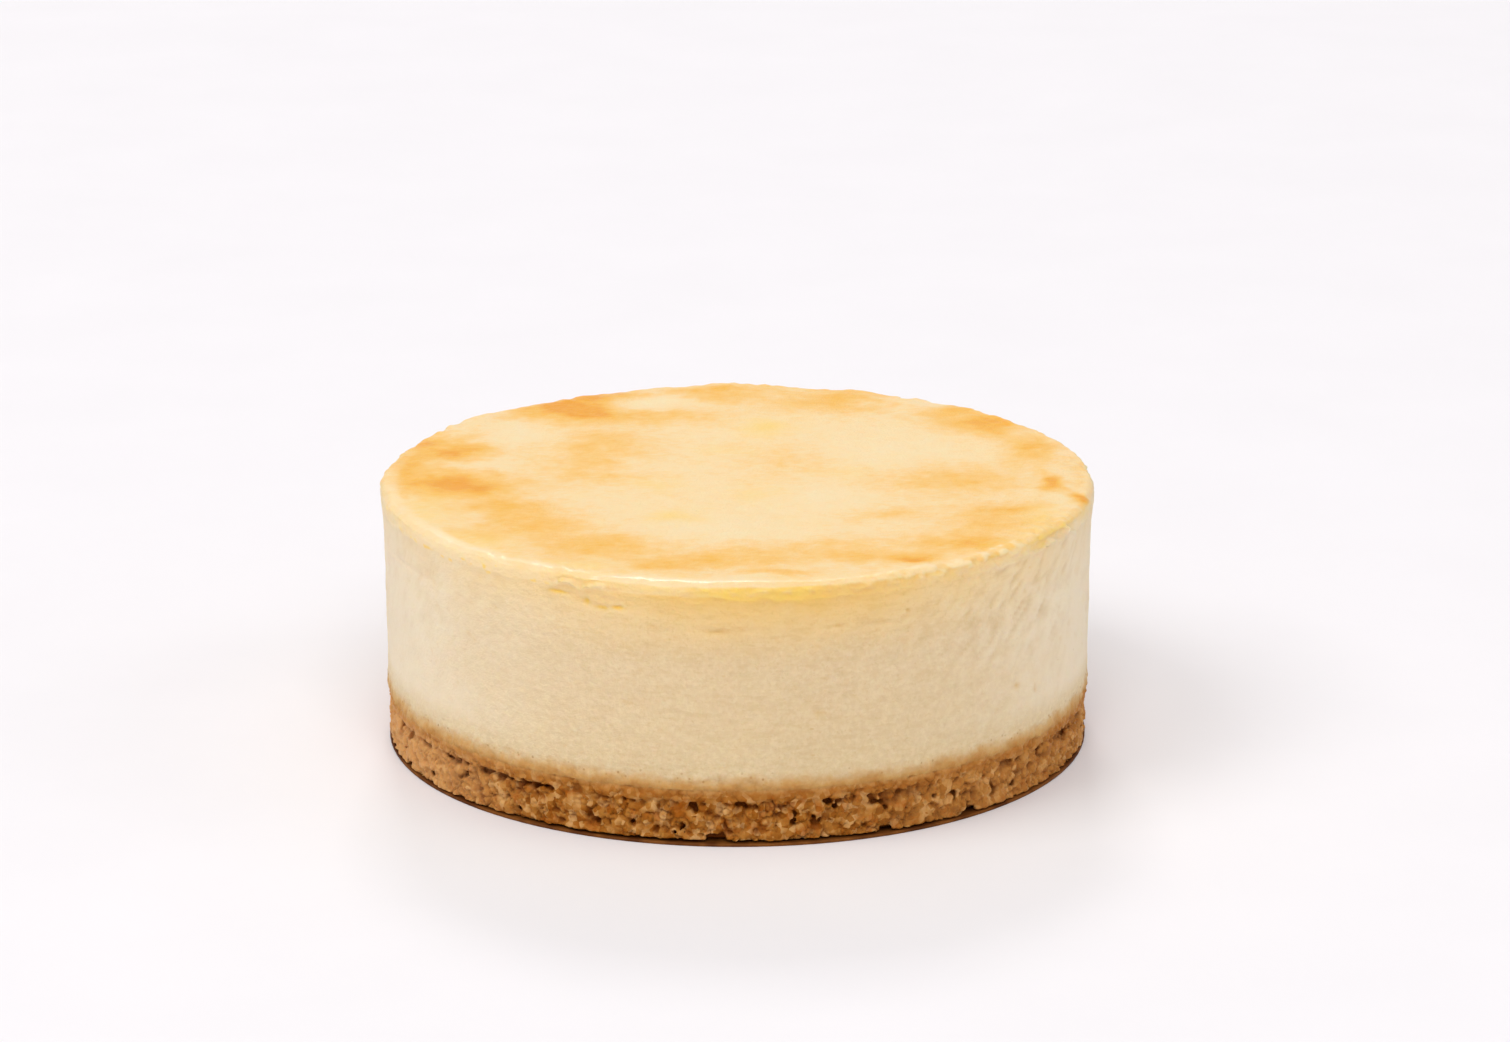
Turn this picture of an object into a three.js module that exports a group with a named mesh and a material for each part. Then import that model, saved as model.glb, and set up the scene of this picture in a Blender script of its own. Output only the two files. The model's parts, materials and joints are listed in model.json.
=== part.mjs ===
// A small round baked cheesecake, as it comes out of a 10 cm tin.
// Three pieces lie on one another: a thin round of brown baking paper, a pressed biscuit crumb base,
// and the baked cream cheese filling, whose browned top is its own skin.
// Millimetres, +Z up. The origin is on the surface that the cake stands on, under its centre.
// The side at -Y is called the front.
import * as THREE from "three";

// Driving dimensions.
const TIN_DIAMETER = 100; // the filling's widest line, just under its top edge
const TOTAL_HEIGHT = 37; // from the surface that it stands on to the highest line of the top
const PAPER_THICKNESS = 0.4;
const BASE_TOP = 8; // height of the joint between crumbs and filling
const SEGMENTS = 120; // facets round the cake

// Worked out from them.
const TOP_RADIUS = TIN_DIAMETER / 2;
const WALL_RADIUS = TOP_RADIUS - 0.45; // the wall shrinks in a little below its upper lip
const BASE_RADIUS = WALL_RADIUS - 0.05; // flush with the filling's wall where they join
const PAPER_RADIUS = BASE_RADIUS - 0.1;

// Small shapes.
const PAPER_EDGE = 0.1; // rounding of the cut edge
const UNDERCUT = 1.3; // how far the base is broken away where it meets the paper
const UNDERCUT_HEIGHT = 1.1;
const CRUMB_RIPPLE = 0.7; // deepest step of the uneven broken edge, at its foot
const LIP_HEIGHT = 6; // the part of the wall that flares out to the lip
const EDGE_ROUND = 1.3; // radius of the rounded top edge
const RIDGE_INSET = 4; // the low ridge that runs round the top, inside the edge
const CENTRE_SINK = 0.5; // the middle settles as the cake cools

const PAPER_COLOUR = 0x8a5a30;
const CRUMB_COLOUR = 0xb98348;
const FILLING_COLOUR = 0xf0dcb0;

// Turns a profile of [radius, height] points about the Z axis. It runs from the bottom of the axis,
// out and up, to the top of the axis, so the faces look outwards.
function turned(profile) {
  const points = profile.map(([radius, height]) => new THREE.Vector2(radius, height));
  const geometry = new THREE.LatheGeometry(points, SEGMENTS);
  geometry.rotateX(Math.PI / 2);
  return geometry;
}

// A named piece with its own matt or satin material.
function piece(name, geometry, color, roughness) {
  const mesh = new THREE.Mesh(
    geometry,
    new THREE.MeshStandardMaterial({ color, roughness, metalness: 0 }),
  );
  mesh.name = name;
  return mesh;
}

// Points on a quarter circle, from the wall up and over to the top.
function roundedEdge(outerRadius, topHeight, radius, steps) {
  const points = [];
  for (let i = 0; i <= steps; i += 1) {
    const angle = (i / steps) * (Math.PI / 2);
    points.push([
      outerRadius - radius * (1 - Math.cos(angle)),
      topHeight - radius * (1 - Math.sin(angle)),
    ]);
  }
  return points;
}

function bakingPaper() {
  const profile = [
    [0, 0],
    [PAPER_RADIUS - PAPER_EDGE, 0],
    [PAPER_RADIUS, PAPER_EDGE],
    [PAPER_RADIUS, PAPER_THICKNESS - PAPER_EDGE],
    [PAPER_RADIUS - PAPER_EDGE, PAPER_THICKNESS],
    [0, PAPER_THICKNESS],
  ];
  return piece("baking_paper_round", turned(profile), PAPER_COLOUR, 0.8);
}

// How far the broken crumb edge steps in, as a smooth wave that closes on itself round the cake.
// It fades out towards the filling, where the crumbs are held fast.
function crumbWave(angle, height) {
  const wave =
    Math.sin(7 * angle + 1.9 * height) +
    0.8 * Math.sin(17 * angle - 1.1 * height + 2) +
    0.6 * Math.sin(29 * angle + 2.7 * height + 1);
  const loose = (BASE_TOP - height) / (BASE_TOP - PAPER_THICKNESS);
  return CRUMB_RIPPLE * loose * (0.5 + wave / 4.8);
}

// The pressed crumbs: flat against the paper and the filling, broken and uneven round the side.
function crumbBase() {
  const sideHeight = BASE_TOP - PAPER_THICKNESS;
  const wall = [];
  const rows = 6;
  for (let i = 0; i <= rows; i += 1) {
    const up = UNDERCUT_HEIGHT + (i / rows) * (sideHeight - UNDERCUT_HEIGHT);
    wall.push([BASE_RADIUS, PAPER_THICKNESS + up]);
  }
  const geometry = turned([
    [0, PAPER_THICKNESS],
    [BASE_RADIUS - UNDERCUT, PAPER_THICKNESS],
    ...wall,
    [0, BASE_TOP],
  ]);
  const at = geometry.getAttribute("position");
  for (let i = 0; i < at.count; i += 1) {
    const radius = Math.hypot(at.getX(i), at.getY(i));
    if (radius > BASE_RADIUS / 2) {
      const angle = Math.atan2(at.getY(i), at.getX(i));
      const share = (radius - crumbWave(angle, at.getZ(i))) / radius;
      at.setX(i, at.getX(i) * share);
      at.setY(i, at.getY(i) * share);
    }
  }
  return piece("crumb_base", geometry, CRUMB_COLOUR, 0.9);
}

// The filling: a wall that leans out to a lip, a rounded edge, a low ridge and a settled middle.
function cheeseFilling() {
  const edgeStart = TOTAL_HEIGHT - EDGE_ROUND;
  const crown = [];
  const rows = 8;
  for (let i = 1; i < rows; i += 1) {
    const share = 1 - i / rows;
    const settle = CENTRE_SINK * (1 - share * share);
    crown.push([(TOP_RADIUS - RIDGE_INSET) * share, TOTAL_HEIGHT - settle]);
  }
  const geometry = turned([
    [0, BASE_TOP],
    [WALL_RADIUS, BASE_TOP],
    [WALL_RADIUS, BASE_TOP + (edgeStart - LIP_HEIGHT - BASE_TOP) / 2],
    [WALL_RADIUS + 0.1, edgeStart - LIP_HEIGHT],
    [TOP_RADIUS - 0.15, edgeStart - LIP_HEIGHT / 3],
    ...roundedEdge(TOP_RADIUS, TOTAL_HEIGHT - 0.1, EDGE_ROUND, 5),
    [TOP_RADIUS - RIDGE_INSET, TOTAL_HEIGHT],
    ...crown,
    [0, TOTAL_HEIGHT - CENTRE_SINK],
  ]);
  return piece("cheese_filling", geometry, FILLING_COLOUR, 0.5);
}

const cheesecake = new THREE.Group();
cheesecake.add(bakingPaper(), crumbBase(), cheeseFilling());

export default cheesecake;
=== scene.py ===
# %% [markdown]
# # A small baked cheesecake
#
# The cake has three pieces: a thin round of brown baking paper, a pressed biscuit crumb base and the
# baked filling with its browned top. A plain model of them, at their real size, is loaded first. The
# paper keeps that shape. The base and the filling are modelled again here, in the same place, with the
# crumbs, pits, tears and browning that a plain turned shape lacks.

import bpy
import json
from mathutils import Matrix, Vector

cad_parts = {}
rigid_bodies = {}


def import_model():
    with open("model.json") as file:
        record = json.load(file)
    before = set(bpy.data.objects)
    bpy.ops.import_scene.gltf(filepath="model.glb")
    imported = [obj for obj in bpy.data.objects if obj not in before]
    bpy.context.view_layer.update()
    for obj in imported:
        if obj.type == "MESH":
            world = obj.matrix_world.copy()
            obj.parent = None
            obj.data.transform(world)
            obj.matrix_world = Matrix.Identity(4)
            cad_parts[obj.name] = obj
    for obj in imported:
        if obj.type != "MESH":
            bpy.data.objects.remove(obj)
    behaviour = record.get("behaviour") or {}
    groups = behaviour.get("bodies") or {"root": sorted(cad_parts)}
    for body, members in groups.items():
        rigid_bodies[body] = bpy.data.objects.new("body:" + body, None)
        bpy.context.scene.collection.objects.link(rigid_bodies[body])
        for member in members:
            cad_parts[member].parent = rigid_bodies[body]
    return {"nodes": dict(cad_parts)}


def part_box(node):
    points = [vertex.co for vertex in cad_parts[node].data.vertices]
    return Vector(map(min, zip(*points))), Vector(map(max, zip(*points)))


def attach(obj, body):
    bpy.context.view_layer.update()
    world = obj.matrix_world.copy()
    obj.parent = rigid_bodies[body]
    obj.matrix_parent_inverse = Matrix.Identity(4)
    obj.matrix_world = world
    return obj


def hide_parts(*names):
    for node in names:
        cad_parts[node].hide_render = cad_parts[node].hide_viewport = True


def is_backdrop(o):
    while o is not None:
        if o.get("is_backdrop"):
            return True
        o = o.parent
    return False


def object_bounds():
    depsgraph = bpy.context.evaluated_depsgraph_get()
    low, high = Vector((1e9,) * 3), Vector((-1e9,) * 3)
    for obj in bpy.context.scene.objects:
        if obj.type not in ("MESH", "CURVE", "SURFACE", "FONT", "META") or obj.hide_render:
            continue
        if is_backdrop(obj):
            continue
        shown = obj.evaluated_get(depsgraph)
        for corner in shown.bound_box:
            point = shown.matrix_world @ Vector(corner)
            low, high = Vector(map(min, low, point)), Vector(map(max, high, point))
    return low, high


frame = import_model()
cad_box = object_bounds()
print("plain model:", sorted(frame["nodes"]))
print("box in metres:", [tuple(corner) for corner in cad_box])

# %% [markdown]
# ## Units and a few helpers
#
# Blender works in metres. A cake is easier to think about in millimetres, so the shapes below are worked
# out in millimetres and are turned into metres when they go into a mesh. Everything is placed from the
# plain model.

# %% Measures taken from the plain model
import json
import math
from types import SimpleNamespace
import bpy
import numpy as np
from mathutils import Vector, noise

MM = 0.001
CAKE_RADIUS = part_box("cheese_filling")[1].x / MM
CAKE_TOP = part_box("cheese_filling")[1].z / MM
BASE_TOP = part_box("crumb_base")[1].z / MM
BASE_RADIUS = 0.99 * CAKE_RADIUS
PAPER_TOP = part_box("baking_paper_round")[1].z / MM
print(f"cake {2 * CAKE_RADIUS:.1f} mm across, {CAKE_TOP:.1f} mm tall, base to {BASE_TOP:.1f} mm")

# %% Helpers for objects and meshes


def clear_selection():
    for thing in bpy.context.scene.objects:
        thing.select_set(False)


def make_active(thing):
    clear_selection()
    thing.select_set(True)
    bpy.context.view_layer.objects.active = thing


def points_of(piece):
    """The piece's vertices in millimetres, one row each."""
    flat = np.empty(3 * len(piece.data.vertices))
    piece.data.vertices.foreach_get("co", flat)
    return flat.reshape(-1, 3) / MM


def move_points(piece, points):
    piece.data.vertices.foreach_set("co", (points * MM).ravel())
    piece.data.update()


def paint(piece, name, amounts):
    """Stores one number for each vertex, which a material can read by name."""
    layer = piece.data.attributes.new(name, "FLOAT", "POINT")
    layer.data.foreach_set("value", np.clip(amounts, 0, 1).astype(np.float32))


def triangles_in(piece):
    return sum(len(face.vertices) - 2 for face in piece.data.polygons)


# %% Helpers for shaping


def waves(points, length, seed, stretch=(1, 1, 1)):
    """Smooth noise from about -1 to 1 at each point, with hills about this many millimetres long."""
    places = points * np.array(stretch) / length + 13.7 * seed
    return np.array([noise.noise(place) for place in places.tolist()])


def hill(value, middle, half_width):
    return np.exp(-(((value - middle) / half_width) ** 2))


def step_up(value, low, high):
    """Goes smoothly from 0 at low to 1 at high."""
    share = np.clip((value - low) / (high - low), 0, 1)
    return share * share * (3 - 2 * share)


def turn_of(points):
    """Degrees round the cake: 0 at the front (-Y), 90 at +X."""
    return np.degrees(np.arctan2(points[:, 0], -points[:, 1]))


def turn_gap(turn, middle):
    """How many degrees a turn is from another, from -180 to 180."""
    return (turn - middle + 180) % 360 - 180


def turn_hill(turn, middle, half_width):
    return np.exp(-((turn_gap(turn, middle) / half_width) ** 2))


def outward(points):
    """The level direction away from the cake's axis at each point."""
    radius = np.maximum(np.hypot(points[:, 0], points[:, 1]), 1e-6)
    return np.stack([points[:, 0] / radius, points[:, 1] / radius, np.zeros(len(points))], axis=1)


# %% [markdown]
# ## The camera, the table and the light
#
# The cake is looked at from the front, from about 18 degrees above the table, through a long lens, so its
# sides stay almost parallel. The table is one pale sheet that bends up far behind the cake, so no edge
# shows. The light is that of a small white studio. The world gives the even part. Four large soft lamps
# give the rest: two high ones in front keep the shadow at the foot short and pale, one at the right keeps
# that side of the wall from going dull, and one behind draws the thin bright line along the front edge of
# the top.

# %% Camera
scene = bpy.context.scene
CAMERA_DISTANCE = 710
CAMERA_ELEVATION = math.radians(17.84)
LENS = 119.6
SENSOR = 36
camera_centre = Vector((0, 0, 18))
camera_aim = Vector((2.5, 0, 30.4))
camera_back = Vector((0, -math.cos(CAMERA_ELEVATION), math.sin(CAMERA_ELEVATION)))
camera_place = camera_centre + CAMERA_DISTANCE * camera_back
bpy.ops.object.camera_add(location=camera_place * MM)
camera = bpy.context.object
camera.name = "studio_camera"
camera.rotation_euler = (camera_aim - camera_place).to_track_quat("-Z", "Y").to_euler()
camera.data.sensor_width = SENSOR
camera.data.lens = LENS
camera.data.clip_start = 0.01
camera.data.clip_end = 20
scene.camera = camera
print("camera at", tuple(round(value, 1) for value in camera_place), "mm")

# %% Table
TABLE_SIZE = 8000
clear_selection()
bpy.ops.mesh.primitive_plane_add(size=TABLE_SIZE * MM)
table = bpy.context.object
table.name = "table"
bpy.ops.object.mode_set(mode="EDIT")
bpy.ops.mesh.select_mode(type="EDGE")
bpy.ops.mesh.select_all(action="DESELECT")
bpy.ops.object.mode_set(mode="OBJECT")
for edge in table.data.edges:
    ends = [table.data.vertices[number].co for number in edge.vertices]
    edge.select = all(end.y > 0.4 * TABLE_SIZE * MM for end in ends)
bpy.ops.object.mode_set(mode="EDIT")
bpy.ops.mesh.extrude_edges_move(TRANSFORM_OT_translate={"value": (0, 0, 0.4 * TABLE_SIZE * MM)})
bpy.ops.object.mode_set(mode="OBJECT")
bend = table.modifiers.new("soft_bend", "BEVEL")
bend.width = 0.2 * TABLE_SIZE * MM
bend.segments = 12
bpy.ops.object.modifier_apply(modifier=bend.name)
bpy.ops.object.shade_smooth()
table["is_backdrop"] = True
print("table faces:", len(table.data.polygons))

# %% Light


def soft_lamp(name, place, size, watts, colour):
    """A large square lamp at this place in metres, turned to the cake."""
    bpy.ops.object.light_add(type="AREA", location=place)
    lamp = bpy.context.object
    lamp.name = name
    lamp.data.size = size
    lamp.data.energy = watts
    lamp.data.color = colour
    lamp.rotation_euler = (-Vector(place)).to_track_quat("-Z", "Y").to_euler()
    return lamp


world = bpy.data.worlds.new("white_studio")
scene.world = world
world.use_nodes = True
world_light = world.node_tree.nodes["Background"]
world_light.inputs["Color"].default_value = (1.0, 0.985, 0.985, 1)
world_light.inputs["Strength"].default_value = 0.47
soft_lamp("front_lamp", (0.2, -2.6, 3.0), 2.4, 62, (1.0, 0.99, 0.98))
soft_lamp("left_lamp", (-2.4, -1.0, 3.0), 2.0, 50, (1.0, 0.99, 0.98))
soft_lamp("right_lamp", (4.2, -0.4, 2.4), 2.6, 24, (1.0, 0.99, 0.98))
soft_lamp("rear_lamp", (-0.15, 2.85, 2.25), 0.75, 29, (1.0, 0.99, 0.98))
scene.view_settings.view_transform = "Standard"

# %% [markdown]
# ## Material helpers
#
# A finish is built from a few small steps that repeat: read where a point is, make some noise, let a
# value rise between two limits, and mix two colours by it. Each step gets a short function, so that the
# finishes below read like recipes. A colour is written as it looks on a screen, from 0 to 255, and is
# turned into light.

# %% Node helpers


def tone(red, green, blue):
    """A colour given as it looks on a screen, as the linear light that a shader needs."""
    parts = [value / 255 for value in (red, green, blue)]
    linear = [part / 12.92 if part <= 0.04045 else ((part + 0.055) / 1.055) ** 2.4 for part in parts]
    return (*linear, 1.0)


def new_finish(name):
    """A new material, its node tree, its shader and the Object coordinates."""
    material = bpy.data.materials.new(name)
    material.use_nodes = True
    tree = material.node_tree
    place = tree.nodes.new("ShaderNodeTexCoord").outputs["Object"]
    return material, tree, tree.nodes["Principled BSDF"], place


def feed(tree, socket, value):
    """Links a socket to another one, or sets it to a number or colour."""
    if isinstance(value, bpy.types.NodeSocket):
        tree.links.new(value, socket)
    else:
        socket.default_value = value


def adjust(shader, settings):
    """Sets sockets that are the same all over."""
    for name, value in settings.items():
        shader.inputs[name].default_value = value


def calculate(tree, operation, *values):
    """A sum or other small calculation, such as ADD or MULTIPLY_ADD."""
    node = tree.nodes.new("ShaderNodeMath")
    node.operation = operation
    for socket, value in zip(node.inputs, values):
        feed(tree, socket, value)
    return node.outputs[0]


def rise(tree, value, low, high):
    """0 where the value is under low, 1 over high, and smooth between."""
    node = tree.nodes.new("ShaderNodeMapRange")
    node.interpolation_type = "SMOOTHSTEP"
    feed(tree, node.inputs["Value"], value)
    feed(tree, node.inputs["From Min"], low)
    feed(tree, node.inputs["From Max"], high)
    return node.outputs["Result"]


def stretched(tree, place, scale):
    node = tree.nodes.new("ShaderNodeMapping")
    feed(tree, node.inputs["Vector"], place)
    node.inputs["Scale"].default_value = scale
    return node.outputs["Vector"]


def grain(tree, place, size, detail=2.0, roughness=0.5):
    """Soft noise from 0 to 1 with spots about this many millimetres across."""
    node = tree.nodes.new("ShaderNodeTexNoise")
    feed(tree, node.inputs["Vector"], place)
    node.inputs["Scale"].default_value = 1 / (size * MM)
    node.inputs["Detail"].default_value = detail
    node.inputs["Roughness"].default_value = roughness
    return node.outputs["Fac"]


def cells(tree, place, size):
    """Small patches like packed grains, about this many millimetres across. Returns the texture node."""
    node = tree.nodes.new("ShaderNodeTexVoronoi")
    feed(tree, node.inputs["Vector"], place)
    node.inputs["Scale"].default_value = 1 / (size * MM)
    return node


def blend(tree, share, first, second):
    """Mixes two colours: the first at 0, the second at 1."""
    node = tree.nodes.new("ShaderNodeMix")
    node.data_type = "RGBA"
    colours_in = [socket for socket in node.inputs if socket.type == "RGBA"]
    colours_out = [socket for socket in node.outputs if socket.type == "RGBA"]
    feed(tree, node.inputs[0], share)
    feed(tree, colours_in[0], first)
    feed(tree, colours_in[1], second)
    return colours_out[0]


def tinted(tree, colour, share, amount, tint):
    """The colour with this amount of a tint where the share is 1, and none where it is 0."""
    return blend(tree, calculate(tree, "MULTIPLY", share, amount), colour, tint)


def ramp(tree, value, stops):
    """Turns a value into a colour by a list of (place, colour)."""
    node = tree.nodes.new("ShaderNodeValToRGB")
    feed(tree, node.inputs["Fac"], value)
    elements = node.color_ramp.elements
    while len(elements) < len(stops):
        elements.new(0.5)
    for element, (place, colour) in zip(elements, stops):
        element.position = place
        element.color = colour
    return node.outputs["Color"]


def painted(tree, name):
    """The numbers that paint() stored on the piece."""
    node = tree.nodes.new("ShaderNodeAttribute")
    node.attribute_name = name
    return node.outputs["Fac"]


def part_of(tree, place, axis):
    """One coordinate, X, Y or Z, of a place in metres."""
    node = tree.nodes.new("ShaderNodeSeparateXYZ")
    feed(tree, node.inputs["Vector"], place)
    return node.outputs[axis]


def relief(tree, heights, strength, distance, base=None):
    """Tilts the surface by a height from 0 to 1 that stands this many millimetres tall."""
    node = tree.nodes.new("ShaderNodeBump")
    node.inputs["Strength"].default_value = strength
    node.inputs["Distance"].default_value = distance * MM
    feed(tree, node.inputs["Height"], heights)
    if base is not None:
        feed(tree, node.inputs["Normal"], base)
    return node.outputs["Normal"]


HALF_SOAKED = tone(206, 160, 98)
SOAKED_TO = BASE_TOP + 2.45


def soaked_border(tree, place, crumb, cream):
    """Crumb colour below and cream above, with the uneven, yellower soaked border between them."""
    level = calculate(tree, "MULTIPLY_ADD", grain(tree, place, 3.5, 1.0), 1.8 * MM, part_of(tree, place, "Z"))
    level = calculate(tree, "MULTIPLY_ADD", grain(tree, place, 1.0, 4.0, 0.6), 1.6 * MM, level)
    half_soaked = rise(tree, level, (SOAKED_TO - 1.7) * MM, (SOAKED_TO + 0.3) * MM)
    dry = rise(tree, level, (SOAKED_TO - 0.3) * MM, (SOAKED_TO + 1.9) * MM)
    return blend(tree, dry, blend(tree, half_soaked, crumb, HALF_SOAKED), cream)


# %% [markdown]
# ### The table's finish
#
# The table is matt white card. A very faint mottling keeps it from being one dead flat colour, and a low
# specular level keeps the lamps from mirroring in it.

# %% Table finish


def table_finish():
    material, tree, shader, place = new_finish("white_card")
    mottling = grain(tree, place, 30.0, 3.0)
    card = blend(tree, mottling, tone(235, 233, 236), tone(239, 237, 240))
    feed(tree, shader.inputs["Base Color"], card)
    adjust(shader, {"Roughness": 0.9, "Specular IOR Level": 0.1})
    return material


table.data.materials.append(table_finish())
print("table finished")

# %% [markdown]
# ## Baking paper
#
# The paper is a flat disc under the base, and only a narrow ring of it shows under the broken foot of the
# crumbs. The plain model already has its exact shape, so it stays, and it gets the finish of brown paper
# that has taken up butter: short fibres, darker greasy spots and a slight crinkle.

# %% Paper finish


def paper_finish():
    material, tree, shader, place = new_finish("brown_paper")
    fibres = grain(tree, stretched(tree, place, (1, 6, 1)), 0.9, 4.0, 0.65)
    grease = rise(tree, grain(tree, place, 5.0, 2.0), 0.42, 0.62)
    dry = ramp(tree, fibres, [(0.3, tone(110, 64, 22)), (0.7, tone(134, 82, 34))])
    colour = blend(tree, grease, dry, tone(88, 46, 14))
    feed(tree, shader.inputs["Base Color"], colour)
    feed(tree, shader.inputs["Normal"], relief(tree, fibres, 0.4, 0.08))
    adjust(shader, {"Roughness": 0.62, "IOR": 1.45, "Specular IOR Level": 0.12})
    return material


paper = frame["nodes"]["baking_paper_round"]
paper.data.materials.clear()
paper.data.materials.append(paper_finish())
print("paper kept:", paper.name, "with", triangles_in(paper), "triangles")

# %% [markdown]
# ## The crumb base
#
# Crushed biscuit and butter are pressed into the tin in one layer. Against the tin the crumbs are pushed
# flat, between them there are dark holes, and near the filling everything is soaked and smooth. Drawing
# that as a pattern would look flat, because the holes are as deep as the crumbs are wide. So it is made
# as it is in the kitchen: a ring of dough, about a thousand lumps and several thousand grains are put in
# place and fused into one skin by a voxel remesh. A handful of lumps and grains is modelled once and
# copied with its own turn and size.

# %% A turned ring


def spun(name, outline, steps):
    """Turns a closed or open outline of (radius, height) in millimetres once round the cake's axis."""
    mesh = bpy.data.meshes.new(name)
    closed = outline[0] == outline[-1]
    corners = outline[:-1] if closed else outline
    count = len(corners)
    links = [(i, (i + 1) % count) for i in range(count if closed else count - 1)]
    mesh.from_pydata([(radius * MM, 0, height * MM) for radius, height in corners], links, [])
    piece = bpy.data.objects.new(name, mesh)
    scene.collection.objects.link(piece)
    make_active(piece)
    bpy.ops.object.mode_set(mode="EDIT")
    bpy.ops.mesh.select_all(action="SELECT")
    bpy.ops.mesh.spin(steps=steps, angle=math.tau, center=(0, 0, 0), axis=(0, 0, 1))
    bpy.ops.mesh.select_all(action="SELECT")
    bpy.ops.mesh.remove_doubles(threshold=0.01 * MM)
    bpy.ops.mesh.normals_make_consistent(inside=False)
    bpy.ops.object.mode_set(mode="OBJECT")
    return piece


CORE_INSIDE = 45.5
CORE_OUTSIDE = 47.9
BAND_BOTTOM = 6.1
FOOT = 0.5
SPIN_STEPS = 360
core = spun(
    "crumb_core",
    [
        (CORE_INSIDE, PAPER_TOP),
        (CORE_OUTSIDE - 0.8, PAPER_TOP),
        (CORE_OUTSIDE, FOOT + 0.4),
        (CORE_OUTSIDE, BAND_BOTTOM + 0.2),
        (CORE_INSIDE, BAND_BOTTOM + 0.2),
        (CORE_INSIDE, PAPER_TOP),
    ],
    SPIN_STEPS,
)
SEAM_OVERLAP = 0.4
band = spun(
    "soaked_band",
    [
        (CORE_INSIDE, BAND_BOTTOM),
        (BASE_RADIUS - 1.2, BAND_BOTTOM),
        (BASE_RADIUS - 0.35, BAND_BOTTOM + 0.1),
        (BASE_RADIUS - 0.05, BAND_BOTTOM + 0.5),
        (BASE_RADIUS - 0.03, BASE_TOP - 0.6),
        (BASE_RADIUS - 0.03, BASE_TOP + SEAM_OVERLAP),
        (CORE_INSIDE, BASE_TOP + SEAM_OVERLAP),
        (CORE_INSIDE, BAND_BOTTOM),
    ],
    SPIN_STEPS,
)
band_points = points_of(band)
outside = np.hypot(band_points[:, 0], band_points[:, 1]) > CORE_INSIDE + 0.5
low_edge = outside & (band_points[:, 2] < BAND_BOTTOM + 1)
band_points[:, 2] += low_edge * (0.35 * waves(band_points, 2.6, 1) + 0.25 * waves(band_points, 0.9, 2))
move_points(band, band_points)
print("core and band:", triangles_in(core) + triangles_in(band), "triangles")

# %% Lumps and grains, modelled once


def crumb_shape(name, divisions, unevenness, seed):
    """One rounded, uneven crumb about one unit in radius, as points and faces."""
    clear_selection()
    bpy.ops.mesh.primitive_ico_sphere_add(subdivisions=divisions, radius=1)
    crumb = bpy.context.object
    crumb.name = name
    bpy.ops.object.mode_set(mode="EDIT")
    bpy.ops.mesh.select_all(action="SELECT")
    bpy.ops.transform.vertex_random(offset=unevenness, seed=seed)
    bpy.ops.object.mode_set(mode="OBJECT")
    corners = np.array([vertex.co for vertex in crumb.data.vertices])
    faces = np.array([face.vertices for face in crumb.data.polygons])
    bpy.data.objects.remove(crumb)
    return corners, faces


lump_shapes = [crumb_shape(f"lump_{i}", 2, 0.12, i) for i in range(5)]
grain_shapes = [crumb_shape(f"grain_{i}", 1, 0.16, 20 + i) for i in range(6)]
print("lump faces:", len(lump_shapes[0][1]), "grain faces:", len(grain_shapes[0][1]))

# %% Where the crumbs are missing
#
# Each entry is a gap: where round the cake in degrees, at what height, and half its width and height in
# millimetres. The long ones are the open crack under the soaked band, and the low ones are notches in the
# foot.
CRACK_HEIGHT = 5.85
gaps = [
    (-52, CRACK_HEIGHT, 3.0, 0.12),
    (-43, CRACK_HEIGHT - 0.1, 2.0, 0.16),
    (-36, CRACK_HEIGHT - 0.15, 4.0, 0.26),
    (-25, CRACK_HEIGHT, 1.0, 0.12),
    (-17, CRACK_HEIGHT, 0.7, 0.14),
    (-7, CRACK_HEIGHT - 0.4, 0.4, 0.12),
    (1.5, CRACK_HEIGHT - 0.1, 0.5, 0.12),
    (15, CRACK_HEIGHT - 0.2, 1.0, 0.14),
    (22, CRACK_HEIGHT, 1.2, 0.18),
    (27, CRACK_HEIGHT + 0.1, 0.9, 0.24),
    (44, CRACK_HEIGHT + 0.1, 0.9, 0.12),
    (58, CRACK_HEIGHT, 1.0, 0.14),
    (-3.5, FOOT + 0.4, 1.3, 0.6),
    (24, FOOT + 0.3, 0.9, 0.4),
    (39.5, FOOT + 0.4, 1.2, 0.6),
]
chance = np.random.default_rng(7)
for _ in range(22):
    crack_turn = chance.uniform(65, 300)
    crack_height = CRACK_HEIGHT + chance.uniform(-0.3, 0.2)
    gaps.append((crack_turn, crack_height, chance.uniform(0.6, 3.0), chance.uniform(0.1, 0.22)))
for _ in range(9):
    notch_turn = chance.uniform(65, 300)
    gaps.append((notch_turn, FOOT + 0.2, chance.uniform(0.5, 1.1), chance.uniform(0.3, 0.7)))
print("gaps:", len(gaps))

# %% Scatter the crumbs


def foot_height(turn):
    """How high the crumbs' lowest edge is: broken away most at the front and a little at the back."""
    return PAPER_TOP + 0.06 + 0.3 * turn_hill(turn, -5, 50) + 0.12 * turn_hill(turn, 170, 50)


def in_a_gap(turn, height, size):
    """True where a crumb of this radius would close one of the gaps. The crack wanders up and down."""
    if height > CRACK_HEIGHT - 2:
        height += 0.3 * math.sin(math.radians(47 * turn)) + 0.22 * math.sin(math.radians(113 * turn))
    for middle, level, half_width, half_height in gaps:
        across = abs(turn_gap(turn, middle)) * math.radians(BASE_RADIUS)
        if across < half_width + 0.3 * size and abs(height - level) < half_height + 0.75 * size:
            return True
    return False


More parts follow.
